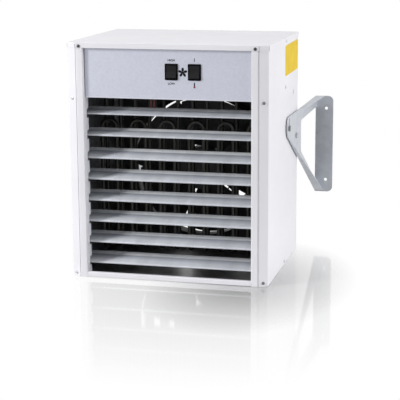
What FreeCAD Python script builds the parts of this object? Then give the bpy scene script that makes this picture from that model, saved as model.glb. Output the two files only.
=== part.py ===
import FreeCAD
import Part
import math
import os

Vector = FreeCAD.Vector

# Wall-hung electric fan heater, in millimetres.
# Origin at the middle of the casing's underside, X to the right, Y to the wall, Z up.

# Casing
case_width = 392.0
case_depth = 324.0
case_height = 460.0
sheet = 1.0
bend = 1.0
bevel_width = 17.0
bevel_depth = 8.0
rear_flange = 20.0
lap_gap = 0.1
seat_gap = 0.2
cover_lip = 10.0
cover_edge_radius = 0.8
corner_slit = 0.8
tray_flange = 14.0
side_slot_width = 5.0
side_slot_height = 10.0
side_slot_inset = 51.0
side_slot_drop = 119.0

# Front frame
stile_width = 15.0
return_depth = 28.0
rail_height = 10.0
rail_return = 7.0
bevel_lap = 13.0
notch_depth = 10.0
notch_gap = 0.6

# Control panel and shelf
panel_height = 106.0
panel_recess = 8.0
panel_side_gap = 1.5
panel_return = 12.0
panel_top_gap = 4.0
shelf_overlap = 6.0

# Rocker switches
switch_drop = 53.0
switch_x = (9.0, 54.0)
bezel_width = 25.0
bezel_height = 31.0
bezel_thickness = 2.2
bezel_radius = 1.5
switch_body_width = 21.6
switch_body_height = 29.6
switch_body_depth = 24.0
switch_cutout_gap = 0.2
switch_wall = 2.6
rocker_gap = 0.35
rocker_pivot_depth = 3.0
rocker_end = 5.0
rocker_waist = 2.6
rocker_back = 4.5
rocker_throw = 10.0
rocker_pin_radius = 1.5
rocker_pin_length = 1.2
running_gap = 0.08

# Louvre slats
louvre_count = 8
louvre_chord = 46.0
louvre_sheet = 1.0
louvre_bend = 0.6
louvre_front = 20.0
louvre_lip = 2.6
louvre_crease_drop = 1.6
louvre_crease_back = 12.0
louvre_rise = 4.0
top_pivot_drop = 32.5
low_pivot_rise = 17.5
upper_tilt = 9.0
upper_tilt_count = 2
lower_tilt = 15.0
tilt_low = -9.0
tilt_high = 27.0
lug_radius = 5.0
lug_gap = 0.5
pivot_pin_radius = 2.5
pivot_head_radius = 4.0
pivot_head = 1.2
rail_offset = 10.0
rail_depth = 38.0
rail_lap = 14.0

# Heating elements
element_count = 6
element_radius = 4.25
element_plane = 115.0
element_top_drop = 53.0
element_floor_gap = 32.0
row_spacing = 30.0
duct_gap = 11.0
duct_front = 87.0
duct_length = 170.0
element_margin = 4.0
carrier_sheet = 1.5
carrier_depth = 44.0
carrier_flange = 8.0
shelf_window_depth = 24.0
shelf_window_margin = 6.0
insulator_radius = 6.0
insulator_neck_radius = 5.2
insulator_height = 12.0
stud_radius = 2.0
stud_height = 8.0
stud_nut = 7.0
stud_nut_height = 3.2

# Fan
fan_edge_gap = 2.0
tip_gap = 4.0
collar_round = 12.0
collar_length = 30.0
guard_pitch = 18.0
guard_wire = 3.0
guard_plate_radius = 36.0
guard_plate = 2.0
guard_pad_radius = 7.0
guard_pad_gap = 4.0
guard_arm_width = 5.0
motor_base_radius = 34.0
motor_base = 11.0
shaft_radius = 5.0
shaft_end = 2.0
cup_radius = 44.0
cup_wall = 3.0
cup_depth = 55.0
cup_gap = 2.0
blade_count = 5
blade_start = 17.0
blade_thickness = 1.5
blade_root_chord = 70.0
blade_middle_chord = 148.0
blade_tip_chord = 160.0
blade_root_pitch = 34.0
blade_tip_pitch = 16.0
blade_camber = 6.0

# Electrical compartment
din_rail_width = 35.0
din_rail_height = 7.5
din_rail_length = 240.0
din_rail_back = 70.0
contactor_size = (45.0, 72.0, 58.0)
contactor_step = 14.0
contactor_step_height = 23.0
terminal_size = (92.0, 46.0, 40.0)
terminal_ways = 8
terminal_hole = 7.4
terminal_hole_depth = 12.0
terminal_row = 13.0
device_spacing = 16.0
cutout_radius = 9.0
cutout_body_radius = 6.8
cutout_flange = 4.5
cutout_height = 14.0
cutout_forward = 12.0
cutout_x = -55.0
tab_width = 6.3
tab_thickness = 0.8
tab_length = 9.0
tab_spacing = 6.8
sleeve_width = 8.6
sleeve_thickness = 4.6
sleeve_length = 19.0
sleeve_round = 1.2
lead_radius = 1.2
lead_insert = 6.0
lead_drop = 4.0
lead_bend = 7.0
lead_rise = 38.0
lead_hole_gap = 0.6
gland_thread_radius = 10.0
gland_bore_radius = 7.0
gland_hex = 24.0
gland_body = 9.0
gland_cap = 13.0
gland_cap_radius = 11.2
gland_mouth_radius = 8.7
gland_nut = 5.0
gland_x = 120.0
gland_drop = 48.0

# Wall brackets
bracket_sheet = 2.0
bracket_height = 220.0
wall_gap = 234.0
bracket_nose = 21.5
nose_setback = 8.0
nose_drop = 7.0
top_fall = 2.3
bracket_flange = 18.0
wall_flange = 40.0
wall_flange_radius = 12.0
wall_hole_radius = 3.5
wall_hole_margin = 28.0
wall_hole_inset = 24.5
bracket_arm = 25.0
bracket_strut = 21.0
bracket_web = 64.0
window_radius = 6.0
pivot_inset = 40.0
pivot_height = 249.0
slot_radius = 88.0
slot_start = 18.0
tilt_range = 12.0
slot_gap = 0.4
pivot_bolt_radius = 3.0
clamp_bolt_radius = 3.0
washer_radius = 9.0
washer_thickness = 1.7
bracket_gap = 0.3
bolt_head_ratio = 3.4
bolt_head = 3.0
bolt_nut = 5.0

# Screws
screw_radius = 1.6
screw_hole_gap = 0.1
screw_head_radius = 3.1
screw_head = 1.8
screw_crown = 1.0
screw_length = 7.0
cover_screw_drop = 6.5
bevel_screw_rise = 7.0
bevel_screw_drop = 1.0
side_screw_y = 16.0

angle_tolerance = 1e-6

# Planes that several pieces share
half_width = case_width / 2
front = -case_depth / 2
rear = case_depth / 2
front_half = half_width - bevel_width
bevel_angle = math.atan2(bevel_depth, bevel_width)
open_half = front_half - stile_width
panel_bottom = case_height - panel_height
shelf_level = panel_bottom + sheet
switch_height = case_height - switch_drop
gland_height = case_height - gland_drop
wall_level = case_height - sheet - seat_gap
inner_half = half_width - sheet
rear_inner = rear - 2 * sheet
pivot_y = front + louvre_front + louvre_chord / 2
rail_face = open_half + rail_offset
lowest_pivot = rail_height + low_pivot_rise
louvre_pitch = (panel_bottom - top_pivot_drop - lowest_pivot) / (louvre_count - 1)
louvre_heights = [lowest_pivot + louvre_pitch * (louvre_count - 1 - i) for i in range(louvre_count)]
duct_face = inner_half - duct_gap
leg_spacing = (duct_face - element_margin) / element_count
element_y = front + element_plane
element_rear_y = element_y + row_spacing
carrier_level = shelf_level + sheet
fan_height = panel_bottom / 2
fan_room = min(fan_height, inner_half - bend) - fan_edge_gap
collar_flange = guard_pad_radius + guard_pad_gap + 2 * screw_radius
mouth_radius = fan_room - collar_flange
collar_radius = mouth_radius - collar_round
fan_radius = collar_radius - tip_gap
guard_pad_place = mouth_radius + guard_pad_radius + guard_pad_gap
cutout_y = element_y - cutout_forward
cutout_low = shelf_level - cutout_height
lead_y = cutout_y + 2 * lead_bend
tab_places = (cutout_x - tab_spacing / 2, cutout_x + tab_spacing / 2)
panel_face = front + panel_recess
bracket_inner = half_width + washer_thickness + bracket_gap
bracket_outer = bracket_inner + bracket_sheet
bracket_pivot_y = rear - pivot_inset
wall_plane = rear + wall_gap
slot_middle = math.radians(slot_start + tilt_range / 2)
nose_y = bracket_pivot_y - slot_radius + nose_setback
nose_height = pivot_height + slot_radius * math.sin(slot_middle) - nose_drop
bracket_top = nose_height + bracket_nose - top_fall
bracket_foot = bracket_top - bracket_height
clamp_y = bracket_pivot_y - slot_radius * math.cos(math.radians(slot_start))
clamp_z = pivot_height + slot_radius * math.sin(math.radians(slot_start))


# Sheet-metal and turning helpers

def place(u, v, plane):
    """Point of a drawing plane in space."""
    if plane == "xy":
        return Vector(u, v, 0)
    if plane == "xz":
        return Vector(u, 0, v)
    return Vector(0, u, v)


def along(plane, amount):
    """Shift square to a drawing plane."""
    if plane == "xy":
        return Vector(0, 0, amount)
    if plane == "xz":
        return Vector(0, amount, 0)
    return Vector(amount, 0, 0)


def rounded_line(points, radii, plane):
    """Edges of an open line whose inner corners are rounded."""
    edges = []
    start = points[0]
    for i in range(1, len(points) - 1):
        before = points[i - 1]
        corner = points[i]
        after = points[i + 1]
        length_in = math.dist(before, corner)
        length_out = math.dist(corner, after)
        way_in = ((corner[0] - before[0]) / length_in, (corner[1] - before[1]) / length_in)
        way_out = ((after[0] - corner[0]) / length_out, (after[1] - corner[1]) / length_out)
        turn = math.acos(way_in[0] * way_out[0] + way_in[1] * way_out[1])
        setback = radii[i] * math.tan(turn / 2)
        inward = (way_out[0] - way_in[0], way_out[1] - way_in[1])
        inward_length = math.hypot(*inward)
        sagitta = radii[i] / math.cos(turn / 2) - radii[i]
        first = (corner[0] - way_in[0] * setback, corner[1] - way_in[1] * setback)
        last = (corner[0] + way_out[0] * setback, corner[1] + way_out[1] * setback)
        middle = (corner[0] + inward[0] / inward_length * sagitta,
                  corner[1] + inward[1] / inward_length * sagitta)
        edges.append(Part.LineSegment(place(*start, plane), place(*first, plane)).toShape())
        arc = Part.Arc(place(*first, plane), place(*middle, plane), place(*last, plane))
        edges.append(arc.toShape())
        start = last
    edges.append(Part.LineSegment(place(*start, plane), place(*points[-1], plane)).toShape())
    return edges


def folded(path, plane, low, high, thickness=sheet, inside=bend):
    """Sheet folded along a path, lying on the path's left, from low to high across the plane."""
    normals = []
    for first, second in zip(path, path[1:]):
        length = math.dist(first, second)
        normals.append((-(second[1] - first[1]) / length, (second[0] - first[0]) / length))
    other = []
    path_radii = [0.0] * len(path)
    other_radii = [0.0] * len(path)
    for i, point in enumerate(path):
        before = normals[max(i - 1, 0)]
        after = normals[min(i, len(normals) - 1)]
        share = thickness / (1 + before[0] * after[0] + before[1] * after[1])
        other.append((point[0] + (before[0] + after[0]) * share, point[1] + (before[1] + after[1]) * share))
        turns_left = before[0] * after[1] - before[1] * after[0] > 0
        path_radii[i] = inside + thickness if turns_left else inside
        other_radii[i] = inside if turns_left else inside + thickness
    edges = rounded_line(path, path_radii, plane)
    edges.append(Part.LineSegment(place(*path[-1], plane), place(*other[-1], plane)).toShape())
    edges += rounded_line(other[::-1], other_radii[::-1], plane)
    edges.append(Part.LineSegment(place(*other[0], plane), place(*path[0], plane)).toShape())
    face = Part.Face(Part.Wire(edges))
    face.translate(along(plane, low))
    return face.extrude(along(plane, high - low))


def plate(points, plane, low, high):
    """Flat prism on a straight-sided outline."""
    corners = [place(*point, plane) for point in points]
    face = Part.Face(Part.makePolygon(corners + corners[:1]))
    face.translate(along(plane, low))
    return face.extrude(along(plane, high - low))


def block(x_low, x_high, y_low, y_high, z_low, z_high):
    """Box between two corners."""
    corner = Vector(x_low, y_low, z_low)
    return Part.makeBox(x_high - x_low, y_high - y_low, z_high - z_low, corner)


def rod(centre, direction, radius, length):
    """Cylinder from a point along a direction."""
    return Part.makeCylinder(radius, length, centre, direction)


def turned(points, axis_point, axis):
    """Solid of revolution of a straight-sided outline given in space."""
    face = Part.Face(Part.makePolygon(points + points[:1]))
    return face.revolve(axis_point, axis, 360)


def hexagon(centre, direction, across, length):
    """Hexagonal prism, by its width across the flats."""
    radius = across / math.sqrt(3)
    corners = []
    for i in range(6):
        angle = math.radians(60 * i)
        corners.append(Vector(radius * math.cos(angle), radius * math.sin(angle), 0))
    prism = Part.Face(Part.makePolygon(corners + corners[:1])).extrude(Vector(0, 0, length))
    prism.Placement = FreeCAD.Placement(centre, FreeCAD.Rotation(Vector(0, 0, 1), direction))
    return prism


def mirrored(shape):
    """The same piece for the other side of the casing."""
    return shape.mirror(Vector(0, 0, 0), Vector(1, 0, 0))


def edges_along(shape, direction):
    """Straight edges of a shape that run along a direction."""
    return [edge for edge in shape.Edges if edge.tangentAt(0).cross(direction).Length < angle_tolerance]


def one(shape):
    """Clean single solid."""
    return shape.removeSplitter().Solids[0]


# Screw places, shared by the screws and by the holes that they pass through

bevel_normal = Vector(math.sin(bevel_angle), -math.cos(bevel_angle), 0)
bevel_middle = Vector(half_width - bevel_width / 2, front + bevel_depth / 2, 0)
bevel_places = []
for level in (bevel_screw_rise, panel_bottom - bevel_screw_drop):
    bevel_places.append((bevel_middle + Vector(0, 0, level), bevel_normal))
cover_level = case_height - cover_screw_drop
cover_grow = lap_gap + sheet
cover_front_x = front_half - stile_width / 2
cover_front_place = (Vector(cover_front_x, front - cover_grow, cover_level), Vector(0, -1, 0))
cover_side_place = (Vector(half_width + cover_grow, side_screw_y, cover_level), Vector(1, 0, 0))
cover_rear_x = half_width - rear_flange / 2
cover_rear_place = (Vector(cover_rear_x, rear + cover_grow, cover_level), Vector(0, 1, 0))
cover_places = [cover_front_place, cover_side_place, cover_rear_place]
tray_screw = tray_flange / 2
side_places = []
for level in (tray_screw, shelf_level + tray_screw):
    side_places.append((Vector(half_width, side_screw_y, level), Vector(1, 0, 0)))
rear_places = []
for level in (panel_bottom / 4, panel_bottom * 3 / 4):
    rear_places.append((Vector(cover_rear_x, rear, level), Vector(0, 1, 0)))
guard_places = []
for i in range(4):
    angle = math.radians(45 + 90 * i)
    across = guard_pad_place * math.cos(angle)
    up = fan_height + guard_pad_place * math.sin(angle)
    guard_places.append((Vector(across, rear - sheet + guard_plate, up), Vector(0, 1, 0)))


def screw(seat, outward):
    """Pan-head screw seated on a face, with its shank inward."""
    shank = rod(seat - outward * screw_length, outward, screw_radius, screw_length)
    rim = screw_head - screw_crown
    head = rod(seat, outward, screw_head_radius, rim)
    crown_radius = screw_head_radius - screw_crown
    crown = Part.makeCone(screw_head_radius, crown_radius, screw_crown, seat + outward * rim, outward)
    return one(shank.fuse([head, crown]))


def screw_hole(seat, outward):
    """Clearance for a screw through the sheets under its head."""
    start = seat - outward * (screw_length + sheet)
    return rod(start, outward, screw_radius + screw_hole_gap, screw_length + 3 * sheet)


def both_sides(shapes):
    """Pieces of the right side with their mirror images."""
    return shapes + [mirrored(shape) for shape in shapes]


# Casing sheets

def casing_outline(grow):
    """Plan outline of the casing, grown outward."""
    points = [(front_half, front), (half_width, front + bevel_depth), (half_width, rear)]
    outline = points + [(-x, y) for x, y in points[::-1]]
    corners = [Vector(x, y, 0) for x, y in outline]
    wire = Part.makePolygon(corners + corners[:1])
    if grow:
        wire = wire.makeOffset2D(grow, 2)
    return Part.Face(wire)


def make_side_panel():
    path = [(front_half, front), (half_width, front + bevel_depth), (half_width, rear),
            (half_width - rear_flange, rear)]
    panel = folded(path, "xy", 0, wall_level)
    holes = [screw_hole(*item) for item in bevel_places + side_places + rear_places]
    holes += [screw_hole(*item) for item in cover_places[1:]]
    slot_y = rear - side_slot_inset
    slot_z = case_height - side_slot_drop
    across = Vector(1, 0, 0)
    half_slot = side_slot_height / 2 - side_slot_width / 2
    start = inner_half - sheet
    for z in (slot_z - half_slot, slot_z + half_slot):
        holes.append(rod(Vector(start, slot_y, z), across, side_slot_width / 2, 3 * sheet))
    holes.append(block(start, start + 3 * sheet, slot_y - side_slot_width / 2, slot_y + side_slot_width / 2,
                       slot_z - half_slot, slot_z + half_slot))
    pivot = Vector(start, bracket_pivot_y, pivot_height)
    holes.append(rod(pivot, across, pivot_bolt_radius + screw_hole_gap, 3 * sheet))
    clamp = Vector(start, clamp_y, clamp_z)
    holes.append(rod(clamp, across, clamp_bolt_radius + screw_hole_gap, 3 * sheet))
    return one(panel.cut(holes))


def make_front_frame():
    lap = sheet + lap_gap
    fold_x = front_half - lap / math.sin(bevel_angle)
    lap_end = (fold_x + bevel_lap * math.cos(bevel_angle), front + bevel_lap * math.sin(bevel_angle))
    path = [(open_half, front + return_depth), (open_half, front), (fold_x, front), lap_end]
    stile = folded(path, "xy", 0, wall_level)
    notches = []
    notch_front = front + return_depth - notch_depth
    notch_low = lip_heights(tilt_high)[0] - notch_gap
    notch_high = lip_heights(tilt_low)[1] + notch_gap
    for height in louvre_heights:
        notches.append(block(open_half - sheet, open_half + 2 * sheet, notch_front, front + 2 * return_depth,
                             height + notch_low, height + notch_high))
    holes = [screw_hole(*item) for item in bevel_places]
    holes.append(screw_hole(*cover_front_place))
    stile = stile.cut(notches + holes)
    reach = open_half + sheet / 2
    rail_back = front + return_depth
    rail_path = [(front + rail_return, rail_height), (front, rail_height), (front, 0), (rail_back, 0)]
    rail = folded(rail_path, "yz", -reach, reach)
    head_low = wall_level - cover_lip + 2 * sheet
    head_path = [(front + cover_lip, wall_level), (front, wall_level), (front, head_low)]
    head = folded(head_path, "yz", -reach, reach)
    return one(stile.fuse([mirrored(stile), rail, head]))


def make_top_cover():
    outer = casing_outline(lap_gap + sheet)
    inner = casing_outline(lap_gap)
    outer.translate(Vector(0, 0, case_height - cover_lip))
    inner.translate(Vector(0, 0, case_height - cover_lip))
    lid = outer.extrude(Vector(0, 0, cover_lip))
    rim = [edge for edge in lid.Edges if edge.CenterOfMass.z > case_height - sheet / 10]
    lid = lid.makeFillet(cover_edge_radius, rim)
    lid = lid.cut(inner.extrude(Vector(0, 0, cover_lip - sheet)))
    slits = []
    slit_low = case_height - cover_lip - sheet
    slit_high = case_height - sheet - bend
    reach = 3 * sheet
    corners = ((front_half, front, 0), (half_width, front + bevel_depth, 45), (half_width, rear, 135))
    for x, y, turn in corners:
        slit = block(-corner_slit / 2, corner_slit / 2, -reach, reach, slit_low, slit_high)
        slit.rotate(Vector(0, 0, 0), Vector(0, 0, 1), turn)
        slit.translate(Vector(x, y, 0))
        slits.append(slit)
    holes = [screw_hole(*item) for item in cover_places]
    return one(lid.cut(both_sides(slits + holes)))


def make_tray(level, y_low, y_high):
    """Tray with upturned flanges along the side panels."""
    top = level + tray_flange
    path = [(-inner_half, top), (-inner_half, level), (inner_half, level), (inner_half, top)]
    return folded(path, "xz", y_low, y_high)


def make_bottom_plate():
    ear_front = front + bevel_depth + 2 * sheet + seat_gap
    tray = make_tray(0, ear_front, rear_inner - seat_gap)
    frame_half = open_half + sheet + seat_gap
    frame_room = block(-frame_half, frame_half, ear_front, front + return_depth + seat_gap, 0, sheet)
    return one(tray.cut(both_sides([screw_hole(*side_places[0])]) + [frame_room]))


def make_compartment_shelf():
    tray = make_tray(shelf_level, front + return_depth + seat_gap, rear_inner - seat_gap)
    half = element_leg_places()[-1] + element_radius + shelf_window_margin
    low_y = element_rear_y - shelf_window_depth / 2
    cuts = both_sides([screw_hole(*side_places[1])])
    cuts.append(block(-half, half, low_y, low_y + shelf_window_depth, shelf_level, shelf_level + sheet))
    for x in tab_places:
        start = Vector(x, lead_y, shelf_level)
        cuts.append(rod(start, Vector(0, 0, 1), lead_radius + lead_hole_gap, sheet))
    return one(tray.cut(cuts))


def make_rear_panel():
    half = inner_half - bend - seat_gap
    panel = block(-half, half, rear_inner, rear - sheet, 0, wall_level)
    back = Vector(0, 1, 0)
    holes = both_sides([screw_hole(*item) for item in rear_places + [cover_rear_place]])
    holes += [screw_hole(*item) for item in guard_places]
    holes.append(rod(Vector(0, rear_inner, fan_height), back, mouth_radius, sheet))
    gland = Vector(gland_x, rear_inner - sheet, gland_height)
    holes.append(rod(gland, back, gland_thread_radius + screw_hole_gap, 4 * sheet))
    return one(panel.cut(holes))


def make_fan_collar():
    """Spun bell mouth with a flange on the inside of the rear panel."""
    turn = rear_inner - collar_round
    low = turn - collar_length
    slant = collar_round * math.sin(math.radians(45))
    thin = collar_round - sheet
    thin_slant = thin * math.sin(math.radians(45))
    brim = mouth_radius + collar_flange
    mouth = [Vector(mouth_radius, rear_inner, 0), Vector(mouth_radius - slant, turn + slant, 0),
             Vector(collar_radius, turn, 0)]
    outside = [Vector(collar_radius + sheet, turn, 0),
               Vector(mouth_radius - thin_slant, turn + thin_slant, 0),
               Vector(mouth_radius, rear_inner - sheet, 0)]
    ends = [Vector(collar_radius, low, 0), Vector(collar_radius + sheet, low, 0)]
    rim = [Vector(brim, rear_inner - sheet, 0), Vector(brim, rear_inner, 0)]
    edges = [Part.Arc(*mouth).toShape()]
    edges.append(Part.LineSegment(mouth[2], ends[0]).toShape())
    edges.append(Part.LineSegment(*ends).toShape())
    edges.append(Part.LineSegment(ends[1], outside[0]).toShape())
    edges.append(Part.Arc(*outside).toShape())
    edges.append(Part.LineSegment(outside[2], rim[0]).toShape())
    edges.append(Part.LineSegment(*rim).toShape())
    edges.append(Part.LineSegment(rim[1], mouth[0]).toShape())
    section = Part.Face(Part.Wire(edges))
    collar = section.revolve(Vector(0, 0, 0), Vector(0, 1, 0), 360)
    collar.translate(Vector(0, 0, fan_height))
    return one(collar.cut([screw_hole(*item) for item in guard_places]))


# Control panel and switches

def make_control_panel():
    lip_end = front + return_depth + seat_gap + shelf_overlap
    top = wall_level - panel_top_gap
    path = [(panel_face, top), (panel_face, panel_bottom), (lip_end, panel_bottom)]
    half = open_half - panel_side_gap
    panel = folded(path, "yz", -half, half)
    wing = block(half - sheet, half, panel_face, panel_face + panel_return, panel_bottom + sheet + bend, top)
    panel = panel.fuse(both_sides([wing]))
    cuts = []
    for x in switch_x:
        width = switch_body_width / 2 + switch_cutout_gap
        height = switch_body_height / 2 + switch_cutout_gap
        cuts.append(block(x - width, x + width, panel_face - sheet, panel_face + 2 * sheet,
                          switch_height - height, switch_height + height))
    return one(panel.cut(cuts))


rocker_axis_y = panel_face - bezel_thickness + rocker_pivot_depth
cavity_half_width = bezel_width / 2 - switch_wall
cavity_half_height = bezel_height / 2 - switch_wall
rocker_reach = cavity_half_height - rocker_gap


def make_switch_housing(x):
    bezel_front = panel_face - bezel_thickness
    half = bezel_width / 2
    rise = bezel_height / 2
    bezel = block(x - half, x + half, bezel_front, panel_face, switch_height - rise, switch_height + rise)
    bezel = bezel.makeFillet(bezel_radius, edges_along(bezel, Vector(0, 1, 0)))
    width = switch_body_width / 2
    height = switch_body_height / 2
    body = block(x - width, x + width, panel_face, panel_face + switch_body_depth,
                 switch_height - height, switch_height + height)
    depth = rocker_pivot_depth + rocker_reach + rocker_gap
    cavity = block(x - cavity_half_width, x + cavity_half_width, bezel_front - sheet, bezel_front + depth,
                   switch_height - cavity_half_height, switch_height + cavity_half_height)
    pin_reach = cavity_half_width + rocker_pin_length
    pin_hole = rod(Vector(x - pin_reach, rocker_axis_y, switch_height), Vector(1, 0, 0),
                   rocker_pin_radius + running_gap, 2 * pin_reach)
    return one(bezel.fuse(body).cut([cavity, pin_hole]))


def make_rocker(x):
    """Rocker with its upper end pressed in; its ends are round about the pivot."""
    half = cavity_half_width - rocker_gap
    end_height = math.sqrt(rocker_reach ** 2 - rocker_end ** 2)
    back_height = math.sqrt(rocker_reach ** 2 - rocker_back ** 2)
    high_front = Vector(0, -rocker_end, end_height)
    waist = Vector(0, -rocker_waist, 0)
    low_front = Vector(0, -rocker_end, -end_height)
    low_back = Vector(0, rocker_back, -back_height)
    high_back = Vector(0, rocker_back, back_height)
    edges = [Part.LineSegment(high_front, waist).toShape()]
    edges.append(Part.LineSegment(waist, low_front).toShape())
    edges.append(Part.Arc(low_front, Vector(0, 0, -rocker_reach), low_back).toShape())
    edges.append(Part.LineSegment(low_back, high_back).toShape())
    edges.append(Part.Arc(high_back, Vector(0, 0, rocker_reach), high_front).toShape())
    face = Part.Face(Part.Wire(edges))
    face.translate(Vector(-half, 0, 0))
    paddle = face.extrude(Vector(2 * half, 0, 0))
    pin_reach = cavity_half_width + rocker_pin_length - rocker_gap
    pin = rod(Vector(-pin_reach, 0, 0), Vector(1, 0, 0), rocker_pin_radius, 2 * pin_reach)
    rocker = paddle.fuse(pin)
    rocker.rotate(Vector(0, 0, 0), Vector(1, 0, 0), -rocker_throw)
    rocker.translate(Vector(x, rocker_axis_y, switch_height))
    return one(rocker)


# Louvre

def lip_heights(tilt):
    """Lowest and highest point of a slat's front lip at a tilt, above the pivot."""
    turn = math.radians(tilt)
    fall = -louvre_chord / 2 * math.sin(turn)
    lip_top = louvre_rise + louvre_sheet
    return fall + (lip_top - louvre_lip) * math.cos(turn), fall + lip_top * math.cos(turn)


def make_louvre(index):
    """Slat with a raised rear edge, a turned-down front lip and a pivot lug under each end."""
    half_chord = louvre_chord / 2
    crease = half_chord - louvre_crease_back
    top = louvre_rise + louvre_sheet
    path = [(half_chord, top), (crease, top - louvre_crease_drop)]
    path += [(-half_chord, top), (-half_chord, top - louvre_lip)]
    half = rail_face - lug_gap
    slat = folded(path, "yz", -half, half, louvre_sheet, louvre_bend)
    across = Vector(1, 0, 0)
    lug_start = half - louvre_sheet
    slat_middle = top - louvre_sheet / 2 - louvre_crease_drop * half_chord / (half_chord + crease)
    lug = rod(Vector(lug_start, 0, 0), across, lug_radius, louvre_sheet)
    lug = lug.fuse(block(lug_start, half, -lug_radius, lug_radius, 0, slat_middle))
    lug = lug.cut(rod(Vector(lug_start, 0, 0), across, pivot_pin_radius + running_gap, louvre_sheet))
    louvre = slat.fuse(both_sides([lug]))
    tilt = upper_tilt if index < upper_tilt_count else lower_tilt
    louvre.rotate(Vector(0, 0, 0), across, tilt)
    louvre.translate(Vector(0, pivot_y, louvre_heights[index]))
    return one(louvre)


def make_louvre_rail():
    """Folded rail behind a stile, fixed flat to the side panel."""
    rail_front = front + return_depth + 2 * sheet
    rail_back = rail_front + rail_depth
    web_back = rail_face + sheet
    path = [(web_back, rail_front), (web_back, rail_back)]
    path += [(inner_half, rail_back), (inner_half, rail_back + rail_lap)]
    rail = folded(path, "xy", tray_flange + seat_gap, panel_bottom - 2 * sheet)
    holes = []
    for height in louvre_heights:
        start = Vector(rail_face - sheet, pivot_y, height)
        holes.append(rod(start, Vector(1, 0, 0), pivot_pin_radius + screw_hole_gap, 4 * sheet))
    return one(rail.cut(holes))


def make_pivot_pins():
    pins = []
    inner_end = rail_face - lug_gap - 2 * louvre_sheet
    for height in louvre_heights:
        start = Vector(inner_end, pivot_y, height)
        pin = rod(start, Vector(1, 0, 0), pivot_pin_radius, rail_face + sheet - inner_end)
        head = rod(Vector(rail_face + sheet, pivot_y, height), Vector(1, 0, 0), pivot_head_radius, pivot_head)
        pins.append(one(pin.fuse(head)))
    return Part.makeCompound(both_sides(pins))


# Heating elements

def element_centre(index):
    return (2 * index - element_count + 1) * leg_spacing


def make_heating_element(index):
    """Tube folded twice: two rear legs up to the terminals, two front legs joined at the top."""
    x = element_centre(index)
    half = leg_spacing / 2
    round_low = row_spacing / 2
    top = panel_bottom - element_top_drop - element_radius - half
    low = element_floor_gap + element_radius + round_low
    high = carrier_level + carrier_sheet + insulator_height / 2
    middle_y = (element_y + element_rear_y) / 2
    legs = []
    for leg_x in (x - half, x + half):
        rear_low = Vector(leg_x, element_rear_y, low)
        front_low = Vector(leg_x, element_y, low)
        rear_leg = Part.LineSegment(Vector(leg_x, element_rear_y, high), rear_low).toShape()
        fold = Part.Arc(rear_low, Vector(leg_x, middle_y, low - round_low), front_low).toShape()
        front_leg = Part.LineSegment(front_low, Vector(leg_x, element_y, top)).toShape()
        legs.append([rear_leg, fold, front_leg])
    bow_ends = (Vector(x - half, element_y, top), Vector(x + half, element_y, top))
    bow = Part.Arc(bow_ends[0], Vector(x, element_y, top + half), bow_ends[1]).toShape()
    path = Part.Wire(legs[0] + [bow] + legs[1][::-1])
    ring = Part.Wire(Part.makeCircle(element_radius, Vector(x - half, element_rear_y, high), Vector(0, 0, 1)))
    return path.makePipeShell([ring], True, True)


def element_leg_places():
    places = []
    for index in range(element_count):
        for side in (-1, 1):
            places.append(element_centre(index) + side * leg_spacing / 2)
    return places


def make_element_carrier():
    """Terminal plate over the shelf's window, with upturned edges and a hole for each leg."""
    low_y = element_rear_y - carrier_depth / 2
    back_y = element_rear_y + carrier_depth / 2
    top = carrier_level + carrier_flange
    path = [(low_y, top), (low_y, carrier_level), (back_y, carrier_level), (back_y, top)]
    carrier = folded(path, "yz", -duct_face, duct_face, carrier_sheet)
    holes = []
    for x in element_leg_places():
        start = Vector(x, element_rear_y, carrier_level)
        holes.append(rod(start, Vector(0, 0, 1), element_radius + screw_hole_gap, carrier_sheet))
    return one(carrier.cut(holes))


def make_element_insulators():
    beads = []
    base = carrier_level + carrier_sheet
    half = insulator_height / 2
    for x in element_leg_places():
        foot = Vector(x, element_rear_y, base)
        bead = rod(foot, Vector(0, 0, 1), insulator_radius, half)
        neck = rod(foot + Vector(0, 0, half), Vector(0, 0, 1), insulator_neck_radius, half)
        bore = rod(foot, Vector(0, 0, 1), element_radius + screw_hole_gap / 2, half)
        stud = rod(foot, Vector(0, 0, 1), stud_radius + screw_hole_gap / 2, insulator_height)
        beads.append(one(bead.fuse(neck).cut([bore, stud])))
    return Part.makeCompound(beads)


def make_element_terminals():
    studs = []
    base = carrier_level + carrier_sheet + insulator_height / 2
    for x in element_leg_places():
        foot = Vector(x, element_rear_y, base)
        stud = rod(foot, Vector(0, 0, 1), stud_radius, insulator_height / 2 + stud_height)
        seat = foot + Vector(0, 0, insulator_height / 2)
        nut = hexagon(seat, Vector(0, 0, 1), stud_nut, stud_nut_height)
        studs.append(one(stud.fuse(nut)))
    return Part.makeCompound(studs)


def make_duct_panel():
    """Inner side sheet that keeps the hot air off the casing."""
    low_y = front + duct_front
    back_y = low_y + duct_length
    path = [(inner_half, back_y), (duct_face, back_y), (duct_face, low_y), (inner_half, low_y)]
    return one(folded(path, "xy", tray_flange + seat_gap, shelf_level))


# Fan

fan_axis = Vector(0, 1, 0)
motor_seat = rear - sheet
cup_rear = motor_seat - motor_base - cup_gap
cup_front = cup_rear - cup_depth


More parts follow.
